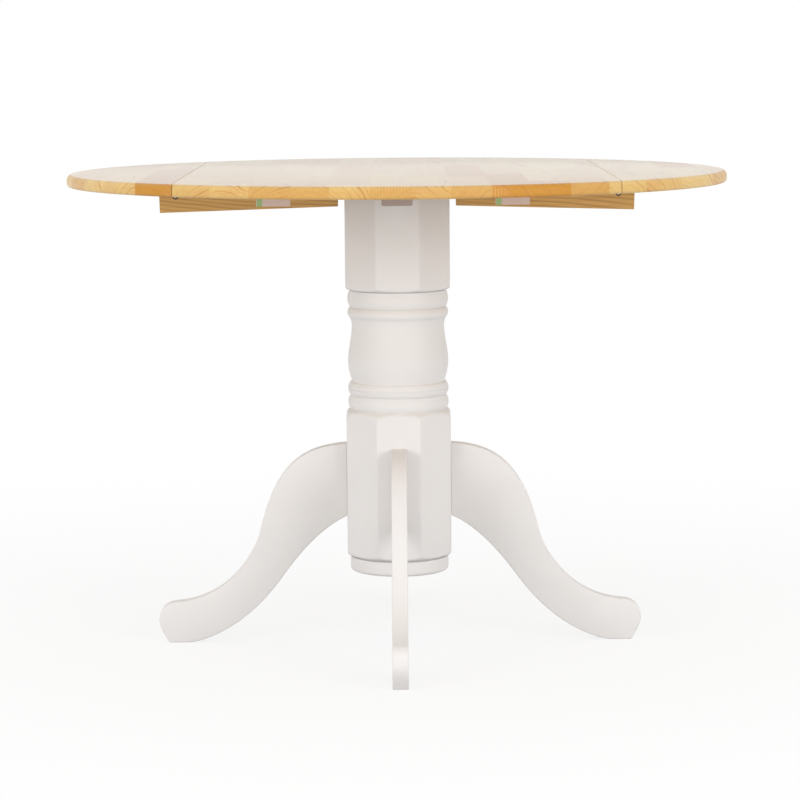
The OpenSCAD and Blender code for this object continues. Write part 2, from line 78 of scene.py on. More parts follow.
# How often the wood changes in a metre along X, Y and Z: the wander of its growth rings, the clouds
# of its tone, its fibres and its pores
WANDER = (18.0, 3.5, 18.0)
CLOUDS = (26.0, 7.0, 26.0)
FIBRES = (420.0, 9.0, 420.0)
PORES = (1500.0, 160.0, 1500.0)
# The same for the supports, whose grain runs along X, and for painted wood with upright grain
SUPPORT_WANDER = (2.5, 14.0, 14.0)
SUPPORT_FIBRES = (12.0, 500.0, 500.0)
PAINTED_FIBRES = (260.0, 260.0, 9.0)
# Where the pith of a piece lies: across from its stave's edge, below the surface, and its slope
PITH_ASIDE, PITH_SPREAD = -100 * MM, 160 * MM
PITH_DEPTH, PITH_RANGE = 30 * MM, 80 * MM
PITH_LEAN = 0.16
# How far rings and lines wander, and the distance and slope of the supports' darker lines
RING_WANDER = 30 * MM
LINE_PITCH, LINE_SLOPE = 7 * MM, 0.09
# How many rings the good and bad years shift, and how dark end grain and pores get
SEASONS, SOAKED, FILLED = 1.6, 0.35, 0.35
# How far wood fibres tell through lacquer, beside its orange peel
TELLING = 0.6
# The part of a noise that holds nearly all of its values
NOISE_SPAN = {"From Min": 0.3, "From Max": 0.7}

# Sides of the round top, the disc, bolts and bores, and screws
TOP_SIDES, DISC_SIDES, BOLT_SIDES, SCREW_SIDES = 480, 192, 48, 20
# Edges that turn by more than this stay sharp, on most meshes and on the thickly painted column
SHARP, COLUMN_SHARP = math.radians(32), math.radians(40)
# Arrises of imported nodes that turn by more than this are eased
EASED = math.radians(35)
# Angle of each of the octagon's eight sides
EIGHTH = math.pi / 4

# Rings of points to a thread's pitch, and the steepness of its ridge
THREAD_STEPS, THREAD_FLANK = 6, 1.6
# Shares of a wood screw: its thread's core of the shank's radius, its plain part of the length
SCREW_CORE, SCREW_PLAIN = 0.66, 0.2
# Shares of a bolt: its head's round face of the width, its plain part of the length, its thread's
# core and its tip of the shank's radius
BOLT_FACE, BOLT_PLAIN, BOLT_CORE, BOLT_TIP = 0.95, 0.5, 0.86, 0.8
# Turn from one fastener to the next, so that their recesses don't line up
SCATTER_TURN = 0.7

# Radius of the floor, how far the camera sees, the lamps' diameter and the point they are turned to
FLOOR_RADIUS, CLIP_END = 25.0, 60.0
LAMP_SIZE, LAMP_AIM = 2.2, Vector((0.0, 0.0, 0.45))

PANEL_LOW, PANEL_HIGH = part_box("centre_panel")
SEAM_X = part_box("right_leaf")[0].x
COLUMN_LOW, COLUMN_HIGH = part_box("column")
LEG_LOW, LEG_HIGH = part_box("right_leg")
DISC_LOW, DISC_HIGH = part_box("base_disc")
BAR_LOW, BAR_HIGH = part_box("mounting_bar")
INSERT_LOW, INSERT_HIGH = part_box("pivot_inserts")
PIN_LOW, PIN_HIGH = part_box("right_back_pin")


def linear(hex_colour):
    """An sRGB hex value, such as "E0A050", as linear red, green, blue and alpha."""
    channels = [int(hex_colour[i:i + 2], 16) / 255 for i in (0, 2, 4)]
    curve = [c / 12.92 if c <= 0.04045 else ((c + 0.055) / 1.055) ** 2.4 for c in channels]
    return (*curve, 1.0)


def size(name, description, default):
    """A length that a user may change."""
    return FloatProperty(name=name, description=description, default=default, unit="LENGTH", precision=4)


def tint(name, description, hex_colour):
    """A colour that a user may change."""
    return FloatVectorProperty(name=name, description=description, default=linear(hex_colour),
                               size=4, subtype="COLOR", min=0.0, max=1.0)


class TopSettings(PropertyGroup):
    """Sizes of the panel, the leaves and their wood."""
    upper_edge: size("Upper edge", "Radius of the upper edge of the rim", 9 * MM)
    lower_edge: size("Lower edge", "Radius of the lower edge of the rim", 5 * MM)
    seam_arris: size("Seam arris", "Width of the eased arris along a seam", 0.5 * MM)
    knuckle_groove: size("Knuckle groove", "Radius of the groove that a hinge knuckle lies in", 4.5 * MM)
    stave_width: size("Stave width", "Width of a glued stave", 59 * MM)
    stave_length: size("Stave length", "Mean length of a finger-jointed piece", 370 * MM)
    stave_shift: size("Stave shift", "Distance of a stave's edge from the middle", 39.5 * MM)
    finger_length: size("Finger length", "Length of the fingers of a joint", 14 * MM)
    finger_pitch: size("Finger pitch", "Distance from finger to finger", 4.6 * MM)
    ring_pitch: size("Ring pitch", "Distance from one growth ring to the next", 6.5 * MM)
    straw: tint("Straw", "Colour of the palest staves", "DEBD77")
    honey: tint("Honey", "Colour of most staves", "D4AA62")
    amber: tint("Amber", "Colour of the darkest staves", "C3871A")


class ColumnSettings(PropertyGroup):
    """Sizes of the turned column."""
    foot_block: size("Foot block", "Height of the lower octagonal block", 242 * MM)
    bead_a: size("Lowest bead", "Height of the bead above the foot block", 23 * MM)
    bead_b: size("Second bead", "Height of the second bead", 22 * MM)
    vase: size("Vase", "Height of the vase", 105 * MM)
    bead_c: size("Third bead", "Height of the third bead", 17 * MM)
    bead_d: size("Top bead", "Height of the top bead", 28 * MM)
    shoulder: size("Shoulder", "Height over which a block's end is turned round", 9 * MM)
    foot_shoulder: size("Foot shoulder", "The same at the upper end of the foot block", 14 * MM)
    groove: size("Groove", "Radius between two beads", 78.5 * MM)
    bead: size("Bead", "Radius of the beads at their crown", 82.3 * MM)
    belly: size("Belly", "Radius of the vase at its belly", 82 * MM)
    neck: size("Neck", "Radius of the vase's neck", 75.4 * MM)
    belly_height: size("Belly height", "Height of the belly above the vase's foot", 32 * MM)
    neck_drop: size("Neck drop", "Distance from the neck up to the third bead", 13 * MM)
    scribe: size("Scribe", "Width of the line scribed round the second bead", 1.6 * MM)
    crease: size("Crease", "Width of the cut between two turned forms", 1.2 * MM)
    crease_shallow: size("Shallow crease", "Depth of that cut between the beads", 1.1 * MM)
    crease_deep: size("Deep crease", "Depth of the cut under the upper block", 2.2 * MM)
    core: size("Core", "Width of the hollow core across its flats", 90 * MM)
    core_height: size("Core height", "Height of the hollow core", 205 * MM)
    arris: size("Arris", "Width over which paint softens an arris", 1.4 * MM)
    shoulder_round: size("Shoulder round", "Width over which a block's ends are rounded over", 5 * MM)


class LegSettings(PropertyGroup):
    """Sizes of the S-curved legs."""
    top: size("Upper corner", "Height of a leg's upper corner at the column", 330 * MM)
    low: size("Lower corner", "Height of a leg's lower corner at the column", 210 * MM)
    foot: size("Foot", "Height of a foot over its flat", 67 * MM)
    flat: size("Flat", "Length of the flat that a foot stands on", 31 * MM)
    arris: size("Arris", "Radius of the eased arrises", 1.8 * MM)
    steps: IntProperty(name="Steps", description="Points on each curve of the outline", default=18, min=6)


class PaintSettings(PropertyGroup):
    """Colours of the painted and metal pieces."""
    lacquer: tint("Lacquer", "White sprayed lacquer of the base", "E5E2E0")
    support: tint("Support", "Planed wood of the leaf supports", "D9AC69")
    timber_arris: size("Timber arris", "Width of the eased arrises of the supports", 0.7 * MM)
    metal_arris: size("Metal arris", "Width of the eased arrises of the metal pieces", 0.25 * MM)
    powder: tint("Powder coat", "Grey powder coat of the mounting bar", "BCAEA4")
    zinc: tint("Zinc", "Zinc plating of the pins and fasteners", "B9B8B2")
    bronze: tint("Dark steel", "Burnished dark steel of the hinge plates", "54463B")


class FastenerSettings(PropertyGroup):
    """Sizes of the screws and bolts."""
    screw_pitch: size("Screw pitch", "Rise of a wood screw's thread in one turn", 1.8 * MM)
    recess: size("Recess", "Width of the cross recess in a screw's head", 4.4 * MM)
    recess_width: size("Recess slot", "Width of a slot of the cross", 1.1 * MM)
    bolt_pitch: size("Bolt pitch", "Rise of a bolt's thread in one turn", 1.25 * MM)
    shank: size("Shank", "Radius of a bolt's shank", 4 * MM)
    head_height: size("Head height", "Height of a bolt's head", 5.3 * MM)


class StageSettings(PropertyGroup):
    """Camera and light."""
    distance: size("Distance", "Distance of the camera in front of the column", 4.7558)
    height: size("Height", "Height of the camera", 0.9841)
    pitch: FloatProperty(name="Pitch", description="How far the camera looks down",
                         default=math.radians(7.01), unit="ROTATION")
    roll: FloatProperty(name="Roll", description="Turn of the camera about its view",
                        default=math.radians(-0.45), unit="ROTATION")
    lens: FloatProperty(name="Lens", description="Focal length", default=131.5, unit="CAMERA")
    shift: FloatProperty(name="Shift", description="Sideways shift of the lens", default=0.0019, precision=4)
    ambient: FloatProperty(name="Ambient", description="Strength of the light from all round", default=0.85)
    mirrored: FloatProperty(name="Mirrored", description="Strength of the white surroundings in gloss",
                            default=0.87)
    sides: FloatProperty(name="Side lamps", description="Power of each lamp beside the camera", default=60.0,
                         unit="POWER")
    front: FloatProperty(name="Front lamp", description="Power of the low lamp in front", default=8.0,
                         unit="POWER")


# Nodes and materials

def add_node(tree, kind, inputs=None, **settings):
    """Adds a shader node with its settings and links. An input is a value, or an output that is
    linked to it, or a node whose first output in use is."""
    node = tree.nodes.new("ShaderNode" + kind)
    for name, value in settings.items():
        setattr(node, name, value)
    for name, value in (inputs or {}).items():
        if isinstance(value, bpy.types.Node):
            value = next(output for output in value.outputs if output.enabled)
        if isinstance(value, bpy.types.NodeSocket):
            tree.links.new(value, node.inputs[name])
        else:
            node.inputs[name].default_value = value
    return node


def new_material(name):
    """An empty material, the function that adds its nodes, and the place of a point in its object."""
    material = bpy.data.materials.new(name)
    material.use_nodes = True
    material.node_tree.nodes.clear()
    add = partial(add_node, material.node_tree)
    return material, add, add("TexCoord").outputs["Object"]


def rubberwood():
    """Finger-jointed rubberwood staves along Y under a satin lacquer: honey boards that differ in
    tone, with soft growth rings, fine pores, darker end grain and a clear reflection at a low angle."""
    look = bpy.context.scene.table_top
    material, add, place = new_material("lacquered_rubberwood")
    side, grain, height = add("SeparateXYZ", {0: place}).outputs

    # Staves lie side by side in X
    shifted = add("Math", {0: side, 1: look.stave_shift}, operation="ADD")
    across = add("Math", {0: shifted, 1: look.stave_width}, operation="DIVIDE")
    row = add("Math", {0: across}, operation="FLOOR")
    # The ends of the pieces in a stave interlock in fingers, a zigzag across the stave
    half_finger = look.finger_pitch / 2
    zigzag = add("Math", {0: side, 1: half_finger}, operation="PINGPONG")
    fingers = add("Math", {0: zigzag, 1: look.finger_length / half_finger, 2: grain},
                  operation="MULTIPLY_ADD")
    along = add("Math", {0: fingers, 1: look.stave_length}, operation="DIVIDE")
    piece = add("Math", {0: row, 1: PIECES_APART, 2: along}, operation="MULTIPLY_ADD")
    cell = add("TexVoronoi", {"W": piece, "Scale": 1.0, "Randomness": 0.75}, voronoi_dimensions="1D")
    # Three lots are drawn for each piece
    tone, turn, offset = add("SeparateColor", {0: cell.outputs["Color"]}).outputs
    own = add("Math", {0: tone, 1: PATTERN_STEP}, operation="MULTIPLY")

    # Growth rings round a pith that lies below each piece or beside it and leans a little
    wander = add("VectorMath", {0: place, 1: WANDER}, operation="MULTIPLY")
    waves = add("TexNoise", {"Vector": wander, "W": own, "Scale": 1.0, "Detail": 2.0, "Roughness": 0.45},
                noise_dimensions="4D")
    pith_side = add("Math", {0: offset, 1: PITH_SPREAD, 2: PITH_ASIDE}, operation="MULTIPLY_ADD")
    in_row = add("Math", {0: across}, operation="FRACT")
    from_pith = add("Math", {0: in_row, 1: look.stave_width, 2: pith_side}, operation="MULTIPLY_ADD")
    lean = add("Math", {0: turn, 1: 0.5}, operation="SUBTRACT")
    leaning = add("Math", {0: lean, 1: grain}, operation="MULTIPLY")
    pith_height = add("Math", {0: turn, 1: PITH_RANGE, 2: PITH_DEPTH - PANEL_HIGH.z},
                      operation="MULTIPLY_ADD")
    over_pith = add("Math", {0: height, 1: pith_height}, operation="ADD")
    leant = add("Math", {0: leaning, 1: PITH_LEAN, 2: over_pith}, operation="MULTIPLY_ADD")
    spoke = add("CombineXYZ", {0: from_pith, 2: leant})
    radius = add("VectorMath", {0: spoke}, operation="LENGTH")
    wavy = add("Math", {0: waves, 1: RING_WANDER, 2: radius}, operation="MULTIPLY_ADD")
    # The trees grew at different rates, so the rings lie wider in some pieces
    rate = add("MapRange", {"Value": offset, "To Min": 1.4 / look.ring_pitch,
                            "To Max": 0.7 / look.ring_pitch})
    count = add("Math", {0: wavy, 1: rate}, operation="MULTIPLY")
    # Good and bad years change the width of a ring and the strength of its late wood
    seasons = add("TexNoise", {"W": count, "Scale": 0.6, "Detail": 1.0}, noise_dimensions="1D")
    years = add("Math", {0: seasons, 1: SEASONS, 2: count}, operation="MULTIPLY_ADD")
    in_ring = add("Math", {0: years}, operation="FRACT")
    year = add("Math", {0: years}, operation="FLOOR")
    growth = add("TexWhiteNoise", {"W": year}, noise_dimensions="1D")
    strength = add("MapRange", {"Value": growth, "To Min": 0.15, "To Max": 1.0})
    # Each ring darkens slowly towards its late wood and ends there
    late = add("ValToRGB", {0: in_ring})
    ring = late.color_ramp
    ring.interpolation = "EASE"
    ring.elements[0].color = linear("000000")
    ring.elements[1].color = linear("000000")
    ring.elements.new(0.4).color = linear("202020")
    ring.elements.new(0.86).color = linear("FFFFFF")
    # The rings show clearly in one place and hardly in the next
    cloud_place = add("VectorMath", {0: place, 1: CLOUDS}, operation="MULTIPLY")
    cloud = add("TexNoise", {"Vector": cloud_place, "W": own, "Scale": 1.0, "Detail": 2.0},
                noise_dimensions="4D")
    clear = add("MapRange", {"Value": cloud, "From Min": 0.35, "From Max": 0.65, "To Min": 0.2,
                             "To Max": 0.85})
    visible = add("Math", {0: strength, 1: clear}, operation="MULTIPLY")
    lined = add("Math", {0: late, 1: visible}, operation="MULTIPLY")

    # Fibres and pores are drawn out along Y, the pores coarser than real ones so that they show
    fibre_place = add("VectorMath", {0: place, 1: FIBRES}, operation="MULTIPLY")
    fibre = add("TexNoise", {"Vector": fibre_place, "Scale": 1.0, "Detail": 3.0})
    pore_place = add("VectorMath", {0: place, 1: PORES}, operation="MULTIPLY")
    pore_noise = add("TexNoise", {"Vector": pore_place, "Scale": 1.0, "Detail": 1.0})
    pores = add("MapRange", {"Value": pore_noise, "From Min": 0.62, "From Max": 0.72})

    # Straw, honey and amber boards in their shares, some blushed with pink
    board = add("ValToRGB", {0: tone})
    ramp = board.color_ramp
    ramp.elements[0].color = look.honey
    ramp.elements[1].color = look.honey
    for share, shade in ((0.12, look.honey), (0.2, look.straw), (0.52, look.straw), (0.62, look.honey),
                         (0.71, look.amber), (0.84, look.amber), (0.9, look.honey)):
        ramp.elements.new(share).color = shade
    rosy = add("MapRange", {"Value": cloud, "From Min": 0.5, "From Max": 0.72, "To Max": 0.35})
    # End grain drinks more of the finish and looks darker
    facing = add("SeparateXYZ", {0: add("TexCoord").outputs["Normal"]}).outputs[1]
    sawn = add("Math", {0: facing, 1: facing}, operation="MULTIPLY")
    soaked = add("Math", {0: sawn, 1: SOAKED}, operation="MULTIPLY")
    colour = board
    for share, shade in ((rosy, "D0925A"), (lined, "AC6E28"), (soaked, "C98C3A")):
        colour = add("Mix", {0: share, 6: colour, 7: linear(shade)}, data_type="RGBA")
    streak = add("MapRange", {"Value": fibre, **NOISE_SPAN, "To Min": 0.93, "To Max": 1.05})
    streaked = add("VectorMath", {0: colour, "Scale": streak}, operation="SCALE")
    filled = add("Math", {0: pores, 1: FILLED}, operation="MULTIPLY")
    porous = add("Mix", {0: filled, 6: streaked, 7: linear("8A5A26")}, data_type="RGBA")
    # The top is rubbed smooth, the rim is duller, and the underside has one thin coat
    thin, dull, rubbed = 0.45, 0.32, 0.1
    below = add("MapRange", {"Value": height, "From Min": PANEL_LOW.z + 0.5 * MM,
                             "From Max": PANEL_LOW.z + 4 * MM, "To Min": thin, "To Max": dull})
    above = add("MapRange", {"Value": height, "From Min": PANEL_HIGH.z - 1.2 * MM,
                             "From Max": PANEL_HIGH.z - 0.1 * MM, "To Min": thin, "To Max": rubbed})
    rough = add("Math", {0: below, 1: above}, operation="MINIMUM")
    relief = add("Math", {0: fibre, 1: pores}, operation="SUBTRACT")
    bump = add("Bump", {"Strength": 0.15, "Distance": 0.1 * MM, "Height": relief})
    surface = add("BsdfPrincipled", {"Base Color": porous, "Roughness": rough, "IOR": 1.5, "Normal": bump})
    add("OutputMaterial", {"Surface": surface})
    return material


def support_timber():
    """Planed rubberwood of the leaf supports under one thin coat: tan, with straight darker lines
    that run slowly out of the lower edge."""
    look = bpy.context.scene.table_paint
    material, add, place = new_material("planed_rubberwood")
    x, _, z = add("SeparateXYZ", {0: place}).outputs
    stretch = add("VectorMath", {0: place, 1: SUPPORT_WANDER}, operation="MULTIPLY")
    waves = add("TexNoise", {"Vector": stretch, "Scale": 1.0, "Detail": 2.0})
    slope = add("Math", {0: x, 1: LINE_SLOPE, 2: z}, operation="MULTIPLY_ADD")
    wavy = add("Math", {0: waves, 1: RING_WANDER, 2: slope}, operation="MULTIPLY_ADD")
    phase = add("Math", {0: wavy, 1: 2 * math.pi / LINE_PITCH}, operation="MULTIPLY")
    ring = add("Math", {0: phase}, operation="SINE")
    late = add("MapRange", {"Value": ring, "To Max": 0.5})
    fibre_place = add("VectorMath", {0: place, 1: SUPPORT_FIBRES}, operation="MULTIPLY")
    fibre = add("TexNoise", {"Vector": fibre_place, "Scale": 1.0, "Detail": 3.0})
    ringed = add("Mix", {0: late, 6: look.support, 7: linear("A27A40")}, data_type="RGBA")
    streak = add("MapRange", {"Value": fibre, **NOISE_SPAN, "To Min": 0.86, "To Max": 1.08})
    streaked = add("VectorMath", {0: ringed, "Scale": streak}, operation="SCALE")
    bump = add("Bump", {"Strength": 0.3, "Distance": 0.1 * MM, "Height": fibre})
    surface = add("BsdfPrincipled", {"Base Color": streaked, "Roughness": 0.5, "IOR": 1.45, "Normal": bump})
    add("OutputMaterial", {"Surface": surface})
    return material


def white_lacquer():
    """White lacquer sprayed over wood: warm white, satin, with a faint orange peel and the fibres of
    the wood just telling through."""
    look = bpy.context.scene.table_paint
    material, add, place = new_material("sprayed_white_lacquer")
    cloud = add("TexNoise", {"Vector": place, "Scale": 9.0, "Detail": 2.0})
    shade = add("MapRange", {"Value": cloud, **NOISE_SPAN, "To Min": 0.97, "To Max": 1.0})
    colour = add("VectorMath", {0: look.lacquer[:3], "Scale": shade}, operation="SCALE")
    peel = add("TexNoise", {"Vector": place, "Scale": 420.0, "Detail": 1.0})
    grain_place = add("VectorMath", {0: place, 1: PAINTED_FIBRES}, operation="MULTIPLY")
    grain = add("TexNoise", {"Vector": grain_place, "Scale": 1.0, "Detail": 2.0})
    relief = add("Math", {0: grain, 1: TELLING, 2: peel}, operation="MULTIPLY_ADD")
    bump = add("Bump", {"Strength": 0.12, "Distance": 0.08 * MM, "Height": relief})
    surface = add("BsdfPrincipled", {"Base Color": colour, "Roughness": 0.48, "IOR": 1.48, "Normal": bump})
    add("OutputMaterial", {"Surface": surface})
    return material


def pressed_steel(name, colour, smooth, dull):
    """Pressed or turned steel with a plated or burnished skin: cloudy, faintly brushed roughness
    between smooth and dull."""
    material, add, place = new_material(name)
    cloud = add("TexNoise", {"Vector": place, "Scale": 260.0, "Detail": 4.0})
    rough = add("MapRange", {"Value": cloud, "To Min": smooth, "To Max": dull})
    bump = add("Bump", {"Strength": 0.15, "Distance": 0.05 * MM, "Height": cloud})
    surface = add("BsdfPrincipled", {"Base Color": colour, "Metallic": 1.0, "Roughness": rough,
                                     "Normal": bump})
    add("OutputMaterial", {"Surface": surface})
    return material


def powder_coat(name, colour, grain):
    """Baked powder coat or moulded plastic: an even grey with a fine pebbled grain."""
    material, add, place = new_material(name)
    pebble = add("TexNoise", {"Vector": place, "Scale": 1 / grain, "Detail": 2.0})
    shade = add("MapRange", {"Value": pebble, **NOISE_SPAN, "To Min": 0.92, "To Max": 1.0})
    tinted = add("VectorMath", {0: colour[:3], "Scale": shade}, operation="SCALE")
    bump = add("Bump", {"Strength": 0.3, "Distance": 0.05 * MM, "Height": pebble})
    surface = add("BsdfPrincipled", {"Base Color": tinted, "Roughness": 0.5, "IOR": 1.5, "Normal": bump})
    add("OutputMaterial", {"Surface": surface})
    return material


def turned_brass():
    """Turned brass of the threaded inserts: yellow metal with fine tool marks."""
    material, add, place = new_material("turned_brass")
    marks = add("TexNoise", {"Vector": place, "Scale": 900.0, "Detail": 2.0})
    rough = add("MapRange", {"Value": marks, "To Min": 0.2, "To Max": 0.42})
    surface = add("BsdfPrincipled", {"Base Color": linear("C9A24B"), "Metallic": 1.0, "Roughness": rough})
    add("OutputMaterial", {"Surface": surface})
    return material


def label_paper():
    """Coated paper label: a pale pinkish white, blank, with one plain green band near its left edge."""
    margin, band_end = 1 * MM, 10 * MM
    left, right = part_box("left_arm_label")[0].x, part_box("right_arm_label")[0].x
    material, add, place = new_material("coated_label_paper")
    x = add("SeparateXYZ", {0: place}).outputs[0]
    on_right = add("Math", {0: x, 1: 0.0}, operation="GREATER_THAN")
    shifted = add("Math", {0: on_right, 1: left - right, 2: x}, operation="MULTIPLY_ADD")
    from_edge = add("Math", {0: shifted, 1: left}, operation="SUBTRACT")
    inside = add("Math", {0: from_edge, 1: margin}, operation="GREATER_THAN")
    before = add("Math", {0: from_edge, 1: band_end}, operation="LESS_THAN")
    band = add("Math", {0: inside, 1: before}, operation="MULTIPLY")
    fibre = add("TexNoise", {"Vector": place, "Scale": 700.0, "Detail": 3.0})
    paper = add("Mix", {0: fibre, 6: linear("EAD6CD"), 7: linear("DDC8BE")}, data_type="RGBA")
    printed = add("Mix", {0: band, 6: paper, 7: linear("A9C98C")}, data_type="RGBA")
    surface = add("BsdfPrincipled", {"Base Color": printed, "Roughness": 0.45, "IOR": 1.45})
    add("OutputMaterial", {"Surface": surface})
    return material


# Meshes

def new_object(name, data):
    """An object in the scene with its mesh, lamp or camera."""
    made = bpy.data.objects.new(name, data)
    bpy.context.scene.collection.objects.link(made)
    return made


def place_piece(name, mesh, body, slot, material, *nodes):
    """Puts a mesh into the scene as a piece that stands for CAD nodes and rides on their body."""
    piece = new_object(name, mesh)
    mesh.materials.clear()
    mesh.materials.append(material)
    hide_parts(*nodes)
    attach(piece, body)


def place_painted(name, mesh, node):
    """Puts a piece of the white pedestal into the scene."""
    place_piece(name, mesh, "pedestal", "white_paint", bpy.data.materials["sprayed_white_lacquer"], node)


def to_mesh(name, shape, sharp=SHARP):
    """Finishes a bmesh as a smooth mesh whose edges over the sharp angle stay sharp."""
    bmesh.ops.recalc_face_normals(shape, faces=shape.faces)
    mesh = bpy.data.meshes.new(name)
    shape.to_mesh(mesh)
    shape.free()
    mesh.shade_smooth()
    mesh.set_sharp_from_angle(angle=sharp)
    return mesh


def loft(rings):
    """A bmesh through rings of points, closed by a flat face at either end."""
    shape = bmesh.new()
    loops = [[shape.verts.new(point) for point in ring] for ring in rings]
    count = len(loops[0])
    for lower, upper in zip(loops, loops[1:]):
        for i in range(count):
            j = (i + 1) % count
            shape.faces.new((lower[i], lower[j], upper[j], upper[i]))
    shape.faces.new(list(reversed(loops[0])))
    shape.faces.new(loops[-1])
    return shape


def turns_of(segments):
    """Angles that divide a full turn evenly."""
    return [2 * math.pi * i / segments for i in range(segments)]


def ring_of(radii, turns, z):
    """Points about the Z axis at the given radii and angles."""
    return [(r * math.cos(a), r * math.sin(a), z) for r, a in zip(radii, turns)]


def circle(radius, z, segments):
    """Points of a circle about the Z axis."""
    return ring_of([radius] * segments, turns_of(segments), z)


def lathe(points, segments):
    """A bmesh turned about Z from (radius, z) points."""
    return loft([circle(radius, z, segments) for radius, z in points])


def thread(start, end, core, crest, pitch, segments):
    """Rings of a thread: a ridge that climbs one pitch in each turn and fades out at both ends."""
    steps = math.ceil(THREAD_STEPS * (end - start) / pitch)
    rings = []
    for k in range(steps + 1):
        z = start + (end - start) * k / steps
        fade = min(1.0, (z - start) / pitch, (end - z) / pitch)
        shares = [(z / pitch - i / segments) % 1 for i in range(segments)]
        ridges = [max(0.0, 1 - THREAD_FLANK * abs(2 * share - 1)) for share in shares]
        radii = [core + (crest - core) * ridge * fade for ridge in ridges]
        rings.append(ring_of(radii, turns_of(segments), z))
    return rings


def corner(centre_r, centre_z, radius, start, end, steps):
    """Points of a quarter round in the (radius, z) plane, angles in degrees."""
    turns = [math.radians(start + (end - start) * i / steps) for i in range(steps + 1)]
    return [(centre_r + radius * math.cos(a), centre_z + radius * math.sin(a)) for a in turns]


def prism(points, low, high, axis="Z"):
    """A bmesh prism: a closed outline of 2-D points, drawn out from low to high along an axis."""
    place = {"Z": lambda u, v, w: (u, v, w), "Y": lambda u, v, w: (u, w, v)}[axis]
    shape = loft([[place(u, v, w) for u, v in points] for w in (low, high)])
    bmesh.ops.recalc_face_normals(shape, faces=shape.faces)
    return shape


def cylinder(start, end, radius):
    """A bmesh cylinder from start to end."""
    shape = bmesh.new()
    way = Vector(end) - Vector(start)
    turn = way.to_track_quat("Z", "Y").to_matrix().to_4x4()
    middle = Matrix.Translation((Vector(start) + Vector(end)) / 2)
    bmesh.ops.create_cone(shape, cap_ends=True, segments=BOLT_SIDES, radius1=radius, radius2=radius,
                          depth=way.length, matrix=middle @ turn)
    return shape


def cut(mesh, *cutters):
    """The mesh without the cutters' space."""
    body = new_object("cut_body", mesh)
    tools = []
    for cutter in cutters:
        tool = new_object("cut_tool", to_mesh("cut_tool", cutter))
        step = body.modifiers.new("cut", "BOOLEAN")
        step.object = tool
        step.operation = "DIFFERENCE"
        step.solver = "EXACT"
        tools.append(tool)
    bpy.context.view_layer.update()
    graph = bpy.context.evaluated_depsgraph_get()
    result = bpy.data.meshes.new_from_object(body.evaluated_get(graph))
    for used in [body, *tools]:
        old = used.data
        bpy.data.objects.remove(used)
        bpy.data.meshes.remove(old)
    result.name = "cut_result"
    return result


def arc(start, end, crown, steps):
    """Arc between two (radius, z) points that swells to the right of the way by the crown."""
    p, q = Vector(start), Vector(end)
    chord = (q - p).length
    radius = (chord * chord / 4 + crown * crown) / (2 * crown)
    along = (q - p) / chord
    side = Vector((along.y, -along.x))
    centre = (p + q) / 2 - side * (radius - crown)
    half = math.asin(chord / 2 / radius)
    turns = [-half + 2 * half * i / steps for i in range(steps + 1)]
    return [centre + radius * (math.sin(a) * along + math.cos(a) * side) for a in turns]


def bezier(a, b, c, d, steps):
    """Points of a cubic curve, without its last one."""
    points = []
    for i in range(steps):
        t = i / steps
        s = 1 - t
        points.append(s ** 3 * a + 3 * s * s * t * b + 3 * s * t * t * c + t ** 3 * d)
    return points


def soft_min(a, b, width):
    """The smaller of two numbers, rounded over where they are closer than width."""
    near = max(width - abs(a - b), 0.0) / width
    return min(a, b) - near * near * width / 4


# Top

def rim_profile():
    """Edge of the top in (radius, z): a small round below and a larger one above."""
    look = bpy.context.scene.table_top
    rim, small, large = PANEL_HIGH.y, look.lower_edge, look.upper_edge
    below = corner(rim - small, PANEL_LOW.z + small, small, -90, 0, 8)
    above = corner(rim - large, PANEL_HIGH.z - large, large, 0, 90, 14)
    return below + above


def top_slice(name, low_x, high_x):
    """The part of the round top between two planes across X, with eased arrises along the seams."""
    look = bpy.context.scene.table_top
    shape = lathe(rim_profile(), TOP_SIDES)
    for x, keep in ((low_x, 1), (high_x, -1)):
        if x is None:
            continue
        everything = list(shape.verts) + list(shape.edges) + list(shape.faces)
        found = bmesh.ops.bisect_plane(shape, geom=everything, dist=1e-7, plane_co=(x, 0, 0),
                                       plane_no=(-keep, 0, 0), clear_outer=True)
        rim_edges = [e for e in found["geom_cut"] if isinstance(e, bmesh.types.BMEdge)]
        face = bmesh.ops.edgeloop_fill(shape, edges=rim_edges)["faces"]
        bmesh.ops.bevel(shape, geom=list(face[0].edges), offset=look.seam_arris, segments=2,
                        profile=0.5, affect="EDGES")
    return to_mesh(name, shape)


def knuckle_grooves(side):
    """Cutters for the grooves of one side's two hinges."""
    look = bpy.context.scene.table_top
    x = (PIN_LOW.x + PIN_HIGH.x) / 2 * side
    z = (PIN_LOW.z + PIN_HIGH.z) / 2
    return [cylinder((x, s * PIN_LOW.y - s * MM, z), (x, s * PIN_HIGH.y + s * MM, z), look.knuckle_groove)
            for s in ENDS.values()]


